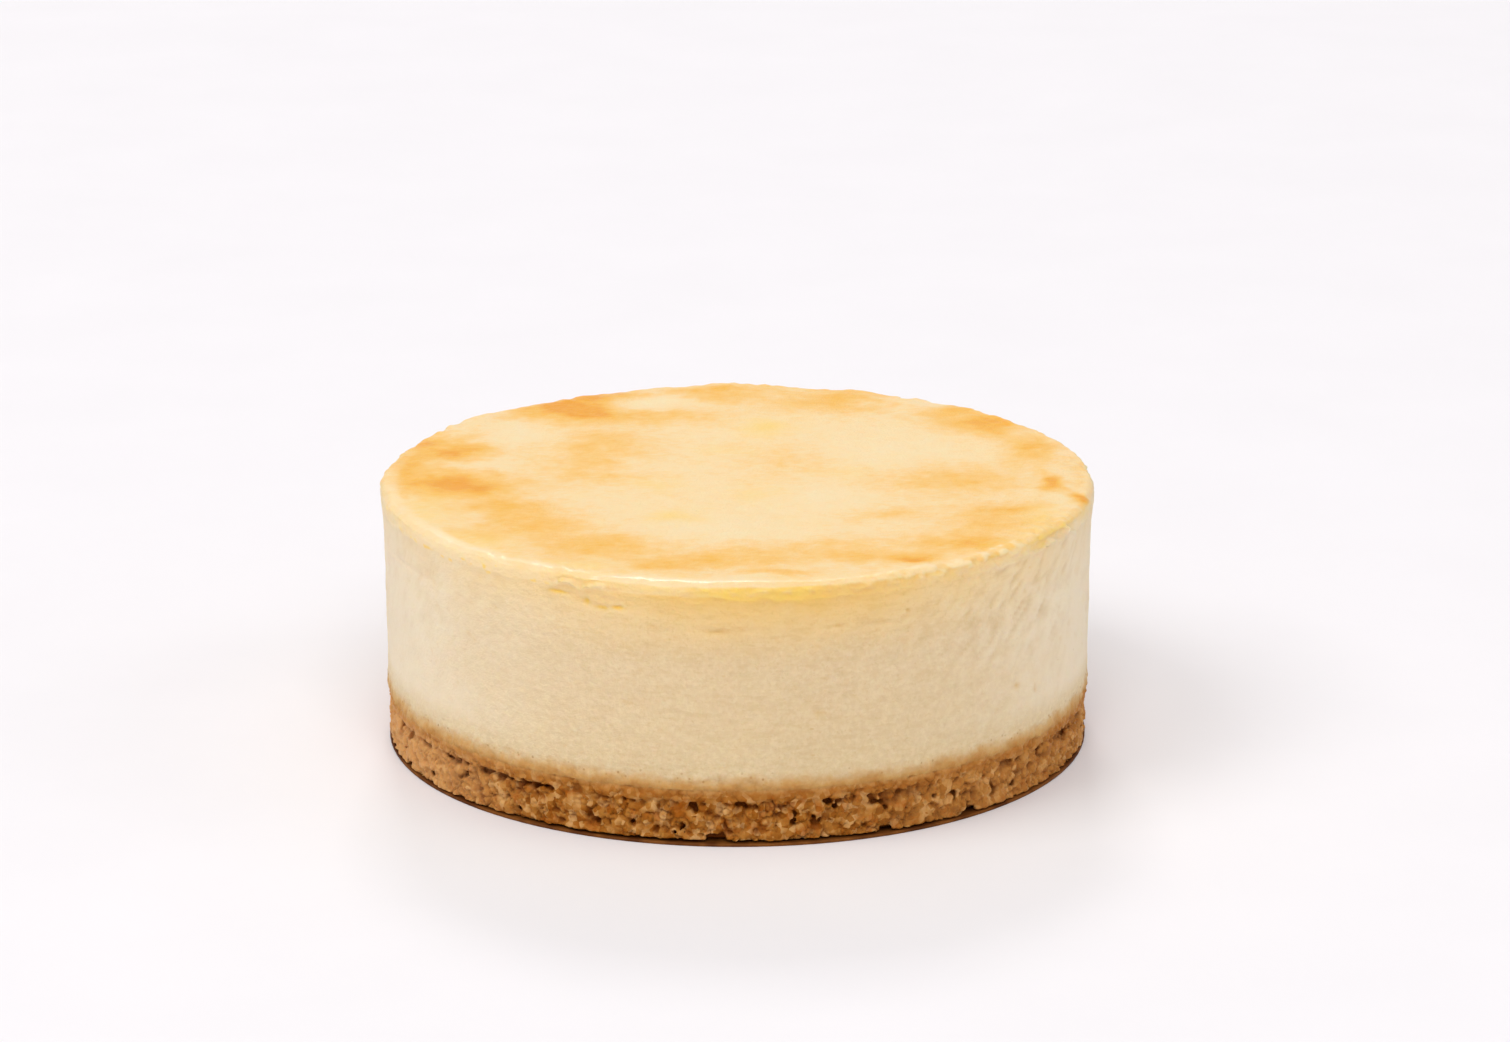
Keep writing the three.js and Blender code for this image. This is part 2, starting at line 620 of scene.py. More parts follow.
def turned(angles):
    """A rotation by three angles, as a 3 by 3 table."""
    cosines, sines = np.cos(angles), np.sin(angles)
    about_x = np.array([[1, 0, 0], [0, cosines[0], -sines[0]], [0, sines[0], cosines[0]]])
    about_y = np.array([[cosines[1], 0, sines[1]], [0, 1, 0], [-sines[1], 0, cosines[1]]])
    about_z = np.array([[cosines[2], -sines[2], 0], [sines[2], cosines[2], 0], [0, 0, 1]])
    return about_x @ about_y @ about_z


def scattered(name, shapes, places):
    """Copies the shapes to (turn, height, radius, size) places and joins them in one mesh."""
    corners, faces, used = [], [], 0
    for number, (turn, height, radius, size) in enumerate(places):
        shape_corners, shape_faces = shapes[number % len(shapes)]
        angle = math.radians(turn)
        middle = np.array([radius * math.sin(angle), -radius * math.cos(angle), height])
        uneven = size * chance.uniform(0.75, 1.25, 3)
        corners.append((shape_corners * uneven) @ turned(chance.uniform(0, math.tau, 3)) + middle)
        faces.append(shape_faces + used)
        used += len(shape_corners)
    mesh = bpy.data.meshes.new(name)
    mesh.from_pydata((np.concatenate(corners) * MM).tolist(), [], np.concatenate(faces).tolist())
    piece = bpy.data.objects.new(name, mesh)
    scene.collection.objects.link(piece)
    return piece


def crumb_places(count, high, sizes, radii, keep_gaps):
    """Random places from the foot to a height, left out where they would close a gap that is kept."""
    places = []
    for number in range(count):
        turn = 360 * (number + chance.uniform(0, 1)) / count
        size = chance.uniform(*sizes)
        low = foot_height(turn) + 0.7 * size
        height = chance.uniform(low, max(low, high - 0.6 * size))
        radius = chance.uniform(*radii)
        if not (keep_gaps and in_a_gap(turn, height, size)):
            places.append((turn, height, radius, size))
    return places


CRUMB_TOP = BAND_BOTTOM + 0.3
FOOT_TOP = FOOT + 0.3
# Each layer: shapes, how many, highest place, and the ranges of size and of distance from the axis.
LAYERS = {
    "backing": (grain_shapes, 1500, CRUMB_TOP, (0.3, 0.55), (48.0, 48.4)),
    "lumps": (lump_shapes, 1000, CRUMB_TOP, (0.55, 1.15), (48.0, 48.8)),
    "grains": (grain_shapes, 2900, CRUMB_TOP, (0.3, 0.52), (48.5, 49.05)),
    "foot_row": (grain_shapes, 760, FOOT_TOP, (0.35, 0.6), (48.75, 49.0)),
    "fines": (grain_shapes, 900, CRUMB_TOP, (0.17, 0.26), (48.9, 49.3)),
}
layers = []
for name, (shapes, count, high, sizes, radii) in LAYERS.items():
    places = crumb_places(count, high, sizes, radii, keep_gaps=name != "backing")
    layers.append(scattered(name, shapes, places))
print("crumbs:", [triangles_in(layer) for layer in layers], "triangles")

# %% [markdown]
# ### Fusing the crumbs
#
# The remesh fills the ring and all crumbs with a fine grid and wraps one skin round them. Only the outer
# side shows, so the inner half of the ring is cut away and the base is closed flat under the filling and
# over the paper. Then the tin's work is added: nothing may stand further out than the tin, so what does
# is pushed flat. The broken faces are roughened, and clefts are pressed in between some of the crumbs. The
# fine grid leaves more triangles than flat places need, and a decimate modifier takes the spare ones away.

# %% Fuse, press and close
VOXEL = 0.22


def apply_modifier(piece, name, kind, **settings):
    make_active(piece)
    modifier = piece.modifiers.new(name, kind)
    for setting, value in settings.items():
        setattr(modifier, setting, value)
    bpy.ops.object.modifier_apply(modifier=name)


clear_selection()
for part in (core, band, *layers):
    part.select_set(True)
bpy.context.view_layer.objects.active = core
bpy.ops.object.join()
crumbs = bpy.context.object
crumbs.name = "biscuit_crumbs"
crumbs.data.name = "biscuit_crumbs"
apply_modifier(crumbs, "fuse", "REMESH", mode="VOXEL", voxel_size=VOXEL * MM, use_smooth_shade=True)
apply_modifier(crumbs, "settle", "SMOOTH", factor=0.5, iterations=2)
print("fused:", triangles_in(crumbs), "triangles")


def outline_wobble(points):
    """How far the cake's side stands out or in, the same for the base and the filling, in millimetres."""
    level = points * np.array((1, 1, 0))
    return 0.16 * waves(level, 38, 3) + 0.06 * waves(level, 11, 4)


def soaked_lumps(points):
    """The small lumps of the soaked border, the same for the base and the filling, in millimetres."""
    return 0.34 * waves(points, 1.0, 47) + 0.25 * waves(points, 2.1, 48)


def borders(points, size, seed):
    """1 on some of the borders between neighbouring crumbs of this size in millimetres, and 0 inside them."""
    places = points / size + 9.1 * seed
    found = [noise.voronoi(place)[0] for place in places.tolist()]
    nearness = np.array([distances[1] - distances[0] for distances in found])
    some = step_up(waves(points, 1.4 * size, seed + 0.5), -0.25, 0.25)
    return (1 - step_up(nearness, 0.0, 0.24)) * some


def press_crumbs(piece):
    """Pushes what stands out past the tin's wall back to it, and roughens the broken faces."""
    points = points_of(piece)
    radius = np.hypot(points[:, 0], points[:, 1])
    wall = BASE_RADIUS - 0.03
    start = wall - 0.3
    over = np.maximum(radius - start, 0)
    pressed = start + 0.4 * (1 - np.exp(-over / 0.5))
    loose = 1 - 0.55 * step_up(points[:, 2], BAND_BOTTOM + 0.2, BASE_TOP + 0.2)
    rough = 0.1 * waves(points, 0.6, 5) + 0.25 * waves(points, 1.5, 6)
    clefts = 0.42 * borders(points, 1.9, 7) + 0.3 * borders(points, 1.0, 8)
    target = np.where((radius > start) & (points[:, 2] < BAND_BOTTOM + 1.2), pressed, radius)
    target += loose * (rough - clefts) * (radius > CORE_OUTSIDE)
    lumps_here = step_up(points[:, 2], BAND_BOTTOM + 0.2, BAND_BOTTOM + 1.2) * (radius > CORE_OUTSIDE)
    target = np.minimum(target, wall) + outline_wobble(points) + lumps_here * soaked_lumps(points)
    lowest = np.where(radius > CORE_OUTSIDE, foot_height(turn_of(points)), PAPER_TOP)
    points[:, :2] *= (target / radius)[:, None]
    points[:, 2] = np.maximum(points[:, 2], lowest)
    move_points(piece, points)


press_crumbs(crumbs)


def close_inside(piece, inner_radius):
    """Cuts away the hidden inner part of the ring and closes it flat above and below."""
    make_active(piece)
    points = points_of(piece)
    radius = np.hypot(points[:, 0], points[:, 1])
    hidden = radius < inner_radius
    bpy.ops.object.mode_set(mode="EDIT")
    bpy.ops.mesh.select_mode(type="VERT")
    bpy.ops.mesh.select_all(action="DESELECT")
    bpy.ops.object.mode_set(mode="OBJECT")
    piece.data.vertices.foreach_set("select", hidden)
    bpy.ops.object.mode_set(mode="EDIT")
    bpy.ops.mesh.delete(type="VERT")
    bpy.ops.mesh.select_all(action="DESELECT")
    bpy.ops.mesh.select_non_manifold(extend=False)
    bpy.ops.mesh.edge_face_add()
    bpy.ops.object.mode_set(mode="OBJECT")


def paint_depth(piece):
    """Stores how far each point lies behind the tin's wall, 1 being as far in as the holes go. The crumb
    finish paints shade in the holes by it.
    """
    points = points_of(piece)
    radius = np.hypot(points[:, 0], points[:, 1])
    paint(piece, "depth", (BASE_RADIUS - 0.03 + outline_wobble(points) - radius) / 1.6)


def clear_strays(piece):
    """Takes out the doubled faces and the edges without a face that thinning out can leave."""
    piece.data.validate()
    make_active(piece)
    bpy.ops.object.mode_set(mode="EDIT")
    bpy.ops.mesh.select_mode(type="EDGE")
    bpy.ops.mesh.select_all(action="DESELECT")
    bpy.ops.mesh.select_non_manifold(
        extend=False,
        use_multi_face=False,
        use_non_contiguous=False,
        use_verts=False,
    )
    bpy.ops.mesh.delete(type="EDGE")
    bpy.ops.mesh.select_all(action="SELECT")
    bpy.ops.mesh.delete_loose()
    bpy.ops.mesh.select_mode(type="VERT")
    bpy.ops.object.mode_set(mode="OBJECT")


close_inside(crumbs, CORE_OUTSIDE - 0.9)
CRUMB_TRIANGLES = 190000
apply_modifier(crumbs, "thin_out", "DECIMATE", ratio=min(1, CRUMB_TRIANGLES / triangles_in(crumbs)))
clear_strays(crumbs)
paint_depth(crumbs)
print("crumb base:", triangles_in(crumbs), "triangles")

# %% [markdown]
# ### The crumbs' finish
#
# Baked biscuit crumb is golden brown, but each grain is a little different: some are paler, some are
# orange with butter. Small cells give each grain its own tint. The shape tells how deep a point lies
# below the tin's wall, and deep places are painted darker and more orange, as painted shade in the holes.
# The dry crumb at the two sides is painted paler, most at the left, and the soaked crumb is painted paler
# towards the left: painted light on those sides. Towards the filling the colour goes over into cream by
# the same uneven border that the filling uses, so the joint doesn't show.

# %% Crumb finish
CREAM = tone(222, 198, 158)
SOAKED = tone(176, 112, 44)


def crumb_finish():
    material, tree, shader, place = new_finish("biscuit_crumb")
    across = part_of(tree, place, "X")
    tint = calculate(tree, "MULTIPLY", cells(tree, place, 0.85).outputs["Color"], 0.6)
    tint = calculate(tree, "MULTIPLY_ADD", grain(tree, place, 2.4, 3.0), 0.8, tint)
    stops = [
        (0.3, tone(120, 65, 8)),
        (0.5, tone(150, 88, 18)),
        (0.75, tone(175, 117, 48)),
        (0.95, tone(206, 158, 98)),
    ]
    crumb = ramp(tree, tint, stops)
    butter = rise(tree, grain(tree, place, 1.7, 2.0), 0.5, 0.68)
    crumb = tinted(tree, crumb, butter, 0.6, tone(162, 86, 10))
    # Painted shade: where the holes between the crumbs lie deep, the crumb is painted dark orange-brown.
    painted_hole_shade = rise(tree, painted(tree, "depth"), 0.15, 0.8)
    crumb = blend(tree, painted_hole_shade, crumb, tone(116, 58, 8))
    # Painted light: the crumb is painted paler towards the left side and, less, towards the right side.
    crumb = tinted(tree, crumb, rise(tree, across, -26 * MM, -50 * MM), 0.8, tone(218, 164, 104))
    crumb = tinted(tree, crumb, rise(tree, across, 10 * MM, 40 * MM), 0.35, tone(204, 146, 80))
    # Painted light: the soaked crumb is painted paler towards the left side as well.
    soaked = tinted(tree, SOAKED, rise(tree, across, -4 * MM, -46 * MM), 0.66, tone(192, 130, 60))
    near_band = rise(tree, part_of(tree, place, "Z"), (BAND_BOTTOM - 0.2) * MM, (BAND_BOTTOM + 1.4) * MM)
    crumb = tinted(tree, crumb, near_band, 0.6, soaked)
    feed(tree, shader.inputs["Base Color"], soaked_border(tree, place, crumb, CREAM))
    feed(tree, shader.inputs["Normal"], relief(tree, grain(tree, place, 0.4, 3.0, 0.6), 0.8, 0.18))
    adjust(shader, {"Roughness": 0.5, "Specular IOR Level": 0.08, "Subsurface Weight": 0.2})
    adjust(shader, {"Subsurface Radius": (1.0, 0.5, 0.2), "Subsurface Scale": 0.6 * MM})
    return material


crumbs.data.materials.clear()
crumbs.data.materials.append(crumb_finish())
make_active(crumbs)
bpy.ops.object.shade_smooth()
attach(crumbs, "root")
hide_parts("crumb_base")

# %% [markdown]
# ## The filling
#
# The filling took its shape from the tin: an even wall that flares out a little to the lip, a rounded
# edge and an almost flat top that has settled in the middle. It is turned from its outline like pottery,
# with close rows where the edge needs detail. The top is then filled with a grid, which has no crowded
# point in the middle, and the bottom is closed with one flat face.

# %% Filling: turned wall and closed top
AROUND = 720
EDGE_ROUND = 1.25
EDGE_START = CAKE_TOP - 0.1 - EDGE_ROUND
RIDGE_INSET = 4
CENTRE_SINK = 0.5
ridge_radius = CAKE_RADIUS - RIDGE_INSET


def wall_radius(height):
    """The tin's wall: a little wider at the lip than at the base."""
    heights = (BASE_TOP, 20, 30, 34, EDGE_START)
    radii = (BASE_RADIUS, 49.55, 49.65, 49.85, CAKE_RADIUS)
    return np.interp(height, heights, radii)


def top_height(radius):
    """The low ridge inside the edge and the settled middle."""
    inside = CAKE_TOP - CENTRE_SINK * (1 - np.minimum(radius / ridge_radius, 1) ** 2)
    fall = 0.1 * step_up(radius, ridge_radius, CAKE_RADIUS - EDGE_ROUND)
    return inside - fall


def filling_outline():
    """The outline from the bottom edge up the wall, over the edge and in to the ridge."""
    border_rows = np.linspace(BASE_TOP, 11.5, 11)
    wall_rows = np.linspace(11.5, 29, 31)[1:]
    rim_rows = np.linspace(29, EDGE_START, 29)[1:]
    outline = [(float(wall_radius(height)), height) for height in (*border_rows, *wall_rows, *rim_rows)]
    flat_radius = CAKE_RADIUS - EDGE_ROUND
    for angle in np.radians(np.linspace(0, 90, 12)[1:]):
        across, up = EDGE_ROUND * math.cos(angle), EDGE_ROUND * math.sin(angle)
        outline.append((flat_radius + across, EDGE_START + up))
    for radius in np.linspace(flat_radius, ridge_radius, 9)[1:]:
        outline.append((radius, top_height(radius)))
    return outline


def select_ring(piece, height, radius):
    """Selects the edges that lie on one level ring, and leaves the piece in edit mode."""
    make_active(piece)
    bpy.ops.object.mode_set(mode="EDIT")
    bpy.ops.mesh.select_mode(type="EDGE")
    bpy.ops.mesh.select_all(action="DESELECT")
    bpy.ops.object.mode_set(mode="OBJECT")
    points = points_of(piece)
    radius_gap = np.hypot(points[:, 0], points[:, 1]) - radius
    on_ring = (abs(points[:, 2] - height) < 0.01) & (abs(radius_gap) < 0.01)
    ends = np.empty(2 * len(piece.data.edges), int)
    piece.data.edges.foreach_get("vertices", ends)
    piece.data.edges.foreach_set("select", on_ring[ends.reshape(-1, 2)].all(axis=1))
    bpy.ops.object.mode_set(mode="EDIT")


filling = spun("baked_filling", filling_outline(), AROUND)
select_ring(filling, top_height(ridge_radius), ridge_radius)
bpy.ops.mesh.fill_grid(span=AROUND // 4)
bpy.ops.object.mode_set(mode="OBJECT")
select_ring(filling, BASE_TOP, float(wall_radius(BASE_TOP)))
bpy.ops.mesh.edge_face_add()
bpy.ops.mesh.select_all(action="SELECT")
bpy.ops.mesh.normals_make_consistent(inside=False)
bpy.ops.object.mode_set(mode="OBJECT")
print("filling:", triangles_in(filling), "triangles")

# %% [markdown]
# ### Shaping
#
# What makes the cake look baked and not moulded is small: the skin tore where it held to the tin, bubbles
# left pits in the wall, the wall wrinkled as it shrank, and the top settled unevenly. These are pushed
# into the mesh point by point, as with a sculpting brush. Most pushes also leave a number for each point,
# so that the colours land exactly on the shapes.

# %% Torn places, marks and pits
#
# Torn stretches of the rim: middle and half-width in degrees round the cake, and strength from 0 to 1.
TEARS = [
    (61, 10, 1.0),
    (44, 4, 0.5),
    (-25, 6, 0.75),
    (-42, 7, 0.4),
    (-68, 8, 0.45),
    (96, 9, 0.6),
    (128, 7, 0.8),
    (172, 12, 0.6),
    (-118, 10, 0.7),
    (-152, 6, 0.9),
]
# Single marks on the wall: turn in degrees, height, half-width and half-height, and depth in millimetres.
MARKS = [
    (-15.8, 18.3, 0.8, 0.35, -0.25),
    (-17.2, 19.8, 0.7, 0.2, 0.15),
    (12.5, 18.3, 0.9, 0.25, 0.3),
    (10.9, 18.5, 0.5, 0.3, -0.15),
    (50, 16.6, 0.6, 0.35, 0.35),
    (55, 15.2, 0.4, 0.5, 0.2),
    (-23.5, 33.2, 0.4, 0.4, 0.45),
    (-28.5, 34.0, 1.4, 0.25, 0.35),
    (-21, 32.6, 0.9, 0.25, 0.3),
    (-18.5, 32.8, 0.9, 0.25, 0.3),
    (-3, 30.2, 1.3, 0.3, 0.22),
    (15.5, 30.5, 0.7, 0.2, 0.2),
    (27, 31.5, 0.2, 0.2, 0.3),
    (-13, 30.6, 0.6, 0.25, 0.18),
    (76, 22.5, 0.35, 0.5, -0.3),
]
pit_chance = np.random.default_rng(21)
pits = []
for _ in range(240):
    pit_turn = pit_chance.uniform(-180, 180)
    pit_height = 11 + 22.5 * pit_chance.uniform(0, 1) ** 0.75
    pits.append((pit_turn, pit_height, pit_chance.uniform(0.22, 0.5), pit_chance.uniform(0.16, 0.3),
                 pit_chance.uniform(0.03, 0.12)))
print("tears:", len(TEARS), "marks:", len(MARKS), "pits:", len(pits))

# %% Sculpt the wall and the rim
SKIN_BOTTOM = CAKE_TOP - 2.1
LIP_HEIGHT = CAKE_TOP - 0.8
WRINKLE_SLOPE = math.radians(40)
MM_PER_DEGREE = math.radians(CAKE_RADIUS)


def measured(points):
    """Where each point of the filling lies, how torn the rim is there, and noise in three sizes."""
    shape = SimpleNamespace(points=points)
    shape.radius = np.hypot(points[:, 0], points[:, 1])
    shape.height = points[:, 2].copy()
    shape.turn = turn_of(points)
    shape.wall = shape.radius > CAKE_RADIUS - EDGE_ROUND - 0.6
    shape.torn = np.zeros(len(points))
    for middle, half_width, strength in TEARS:
        shape.torn = np.maximum(shape.torn, strength * turn_hill(shape.turn, middle, half_width))
    shape.coarse = waves(points, 2.6, 31)
    shape.middling = waves(points, 1.3, 32)
    shape.fine = waves(points, 0.7, 33)
    return shape


def push_skin(shape):
    """The skin under the rim: its ragged lower edge, the sunken band, and the lip with burrs and clots."""
    turn, height, wall, torn = shape.turn, shape.height, shape.wall, shape.torn
    coarse, middling, fine = shape.coarse, shape.middling, shape.fine
    feathers = waves(shape.points, 0.9, 44, (1, 1, 0.4))
    lower_edge = SKIN_BOTTOM + 0.8 * coarse + 0.5 * middling + torn * (0.6 + 0.9 * feathers)
    upper_edge = LIP_HEIGHT + 0.4 * coarse + 0.3 * fine
    skin = step_up(height, lower_edge - 0.15, lower_edge + 0.2) * wall
    skin = skin * (1 - step_up(height, upper_edge - 0.2, upper_edge + 0.2))
    intact = turn_hill(turn, -42, 30) * (1 - torn)
    sink = skin * (0.1 - 0.18 * intact + 0.45 * torn * (0.8 + 0.8 * middling))
    ledge = hill(height, lower_edge - 0.3, 0.35) * wall * (1 - intact)
    ledge = ledge * (0.1 + 0.35 * torn * (0.6 + 1.6 * feathers))
    burr = hill(height, LIP_HEIGHT, 0.7) * wall * (0.3 * coarse + 0.3 * middling + 0.15 * fine)
    burr = burr * (1 - 0.5 * intact) * (1 - 0.5 * torn) * (1 + 1.1 * turn_hill(turn, 46, 20))
    clotted = (0.25 + turn_hill(turn, 38, 34)) * (1 - intact) * wall
    clots = step_up(waves(shape.points, 1.1, 46), 0.12, 0.35) * clotted
    clots = clots * hill(height, SKIN_BOTTOM + 0.7 + 0.6 * coarse, 0.5)
    shape.feathers, shape.lower_edge, shape.burr, shape.clots = feathers, lower_edge, burr, clots
    return ledge + burr + 0.25 * clots - sink


def push_wall(shape):
    """The wall: a faint crease, upright flutes, small slanting wrinkles, slow swells and the soaked lumps."""
    points, turn, height = shape.points, shape.turn, shape.height
    above_border = step_up(height, BASE_TOP + 0.3, BASE_TOP + 4)
    wall_only = shape.wall * above_border * (1 - step_up(height, 34, 35))
    crease = hill(height, 30.3 + 0.4 * waves(points, 14, 34), 0.35)
    crease = crease * np.clip(waves(points, 6, 35) + 0.15, 0, 1) * shape.wall
    fluted = turn_hill(turn, 72, 12) + 0.7 * turn_hill(turn, -115, 25) + 0.5 * turn_hill(turn, 160, 20)
    flutes = fluted * wall_only * waves(points, 1.9, 36, (1, 1, 0.22))
    level_way = turn * MM_PER_DEGREE
    along = level_way * math.cos(WRINKLE_SLOPE) + height * math.sin(WRINKLE_SLOPE)
    athwart = height * math.cos(WRINKLE_SLOPE) - level_way * math.sin(WRINKLE_SLOPE)
    slant = np.stack([0.4 * along, athwart, 0.2 * shape.radius], axis=1)
    wrinkled = turn_hill(turn, 48, 22) + 0.35 * turn_hill(turn, -55, 20) + 0.6 * turn_hill(turn, 190, 45)
    wrinkled = (0.12 + wrinkled) * (0.35 + 0.65 * step_up(height, 17, 26))
    shape.wrinkles = wrinkled * wall_only * (waves(slant, 0.85, 37) + 0.3 * waves(slant, 1.9, 45))
    swells = (0.14 * waves(points, 4.5, 38) + 0.06 * shape.fine) * wall_only
    near_base = (1 - step_up(height, BASE_TOP + 1.2, BASE_TOP + 3)) * shape.wall
    return 0.17 * shape.wrinkles + 0.15 * flutes - 0.2 * crease + swells + near_base * soaked_lumps(points)


def press_marks(shape, push):
    """Presses the single marks and the pits into the wall, and notes how hollow each point is."""
    shape.hollow = np.zeros(len(push))
    for mark_turn, level, half_width, half_height, depth in MARKS + pits:
        near = shape.wall & (abs(turn_gap(shape.turn, mark_turn)) < 6) & (abs(shape.height - level) < 3)
        across = turn_gap(shape.turn[near], mark_turn) * MM_PER_DEGREE / half_width
        upward = (shape.height[near] - level) / half_height
        share = np.exp(-((across**2 + upward**2) * (1 + 0.5 * shape.fine[near])))
        push[near] -= depth * share
        shape.hollow[near] = np.maximum(shape.hollow[near], share * min(max(depth, 0) / 0.3, 1))


def settle_top(shape, push):
    """The top: slow swells, and an uneven rim with a notch and a low stretch behind and a bump at the left."""
    points, radius, height, turn = shape.points, shape.radius, shape.height, shape.turn
    on_top = step_up(height, LIP_HEIGHT, CAKE_TOP - 0.3)
    points[:, 2] += on_top * np.where(radius < ridge_radius, top_height(radius) - height, 0)
    points[:, 2] += on_top * (0.3 * waves(points, 17, 39) + 0.12 * waves(points, 5, 40))
    rim = step_up(radius, ridge_radius - 2, CAKE_RADIUS - 1) * on_top
    points[:, 2] += rim * (0.35 * waves(points, 6, 41) + (0.08 + 0.3 * shape.torn) * shape.middling)
    notch = turn_hill(turn, 149.2, 0.9)
    low_stretch = step_up(turn_gap(turn, -153), -0.8, 0.8) * (1 - step_up(turn_gap(turn, -141), -6, 6))
    near_edge = step_up(radius, CAKE_RADIUS - 2.5, CAKE_RADIUS - 0.4) * step_up(height, 34.8, LIP_HEIGHT)
    points[:, 2] -= near_edge * (1.1 * notch + 0.35 * low_stretch)
    push -= near_edge * (0.9 * notch + 0.3 * low_stretch)
    push += 0.3 * turn_hill(turn, -91, 2.5) * hill(height, LIP_HEIGHT + 0.1, 0.9) * shape.wall


def shape_filling(piece):
    """Adds up all pushes, moves the points and returns what the colours need to know."""
    shape = measured(points_of(piece))
    push = push_skin(shape) + push_wall(shape)
    press_marks(shape, push)
    push += outline_wobble(shape.points) * step_up(shape.radius, 30, CAKE_RADIUS)
    settle_top(shape, push)
    shape.points += outward(shape.points) * (push * (shape.radius > 20))[:, None]
    shape.points[:, 2] = np.minimum(shape.points[:, 2], CAKE_TOP + 0.35)
    move_points(piece, shape.points)
    return shape


shape = shape_filling(filling)
print("sculpted:", len(shape.points), "points")

# %% [markdown]
# ### Where the top browned
#
# An oven browns a cheesecake in soft patches, most of them in a ring near the rim where the top stood
# highest, and the middle stays pale. The patches are listed one by one. Each is a soft oval whose edge is
# broken up by noise. Where two meet they add up, but never to more than full strength.

# %% Where the top is browned, yellow and pale
#
# Each entry is a soft oval: its place to the right and to the back, its half-width and half-depth, all in
# millimetres, and its strength.
BROWNED = [
    (-25.5, 36, 7.5, 6, 1),
    (-21, 44, 7, 4, 0.75),
    (-39, 13.5, 4, 4.5, 0.72),
    (-45, 17, 4, 10, 0.5),
    (-39, -3.5, 8, 6.5, 0.85),
    (-47, 6, 3, 8, 0.5),
    (-32, -15, 7, 4.5, 0.5),
    (-26.5, -23, 7, 5.5, 0.46),
    (-19, -32, 9, 5.5, 0.49),
    (-9, -40.5, 9, 3.4, 0.46),
    (-35, -27, 5, 4, 0.31),
    (1, -37, 10, 5.5, 0.37),
    (5.5, -44.8, 4.5, 1.1, 0.44),
    (30, -32, 7, 5.5, 0.52),
    (35, -23, 6.5, 4.5, 0.42),
    (36.5, -16, 6, 3.6, 0.46),
    (19, -38.5, 8, 3.2, 0.49),
    (23.5, -39.8, 1.6, 1.0, 0.9),
    (13, -31, 8, 5, 0.31),
    (21, -17, 6, 4, 0.33),
    (30, -1, 11, 8, 0.42),
    (44, -4, 1.6, 3.6, 0.85),
    (46.6, -11, 1.2, 2.4, 0.8),
    (42, 13, 4, 6.5, 0.55),
    (36.5, 25.5, 6, 6, 0.62),
    (31, 33, 6, 5, 0.42),
    (14, 40, 10, 6.5, 0.45),
    (-3, 44, 7, 5, 0.52),
    (-12, 32, 10, 4, 0.42),
    (-20, 17, 8, 9, 0.36),
    (-19, 4, 9, 8, 0.3),
    (7, 9, 8, 10, 0.22),
]
YELLOWED = [
    (4.2, 25.5, 3.6, 4, 0.9),
    (-8.6, -17.5, 4.2, 2.6, 0.8),
    (-11, -3, 5, 3, 0.45),
    (3, -6, 3.5, 4, 0.4),
    (-2, 14, 4, 3, 0.35),
    (-43, -17, 3.5, 8, 0.6),
    (-36, -32, 5, 5, 0.6),
    (-23, -41.5, 6, 2.2, 0.7),
    (15, 3, 5, 3, 0.3),
    (42, -22, 3, 7, 0.55),
]
PALE = [
    (-10.5, 39.5, 5.5, 4.5, 1.0),
    (-31, 22, 5, 6, 0.8),
    (-36.5, 5.5, 4.5, 2.6, 0.75),
    (22, 13, 13, 9, 0.6),
    (12, -8, 7, 6, 0.7),
    (-3, -24, 8, 6, 0.7),
    (-12, 6, 6, 5, 0.5),
    (26, 41, 5, 4, 0.6),
    (45, -16, 2, 4, 0.5),
    (6, -28, 9, 3, 0.5),
]


def patches(points, listed, warp):
    """How strongly the listed soft ovals cover each point, from 0 to 1."""
    across = points[:, 0] + 2.2 * warp[0]
    back = points[:, 1] + 2.2 * warp[1]
    cover = np.zeros(len(points))
    for x, y, half_x, half_y, strength in listed:
        distance = ((across - x) / half_x) ** 2 + ((back - y) / half_y) ** 2
        cover = 1 - (1 - cover) * (1 - strength * np.exp(-distance))
    return cover


def colour_top(piece, warp):
    """Paints how browned and how yellow the top is. The margin along the front rim is less browned."""
    points, radius = points_of(piece), shape.radius
    blotches = waves(points, 3.4, 56) + 0.6 * waves(points, 1.5, 57)
    way_round = shape.turn * MM_PER_DEGREE + 2 * warp[0]
    along_rim = np.stack([way_round, 2.6 * radius + 3 * warp[1], shape.height], axis=1)
    streaks = waves(along_rim, 7, 58) * step_up(radius, 38, 44)
    margin = step_up(radius, 46.0 + 1.2 * warp[0], 48.9 + 0.8 * warp[1])
    front_margin = margin * step_up(-points[:, 1] - 0.35 * points[:, 0], -12, 20)
    browned = np.clip(0.22 + patches(points, BROWNED, warp) * (1 + 0.28 * blotches), 0, 1)
    browned = browned * (1 - 0.7 * patches(points, PALE, warp)) + 0.16 * streaks
    browned = browned * (1 - 0.2 * front_margin) + 0.1 * margin
    yellowed = patches(points, YELLOWED, warp) * (1 - 0.5 * margin)
    yellowed = np.maximum(yellowed, (0.22 + 0.4 * streaks) * front_margin)
    paint(piece, "browned", browned)
    paint(piece, "yellowed", yellowed)


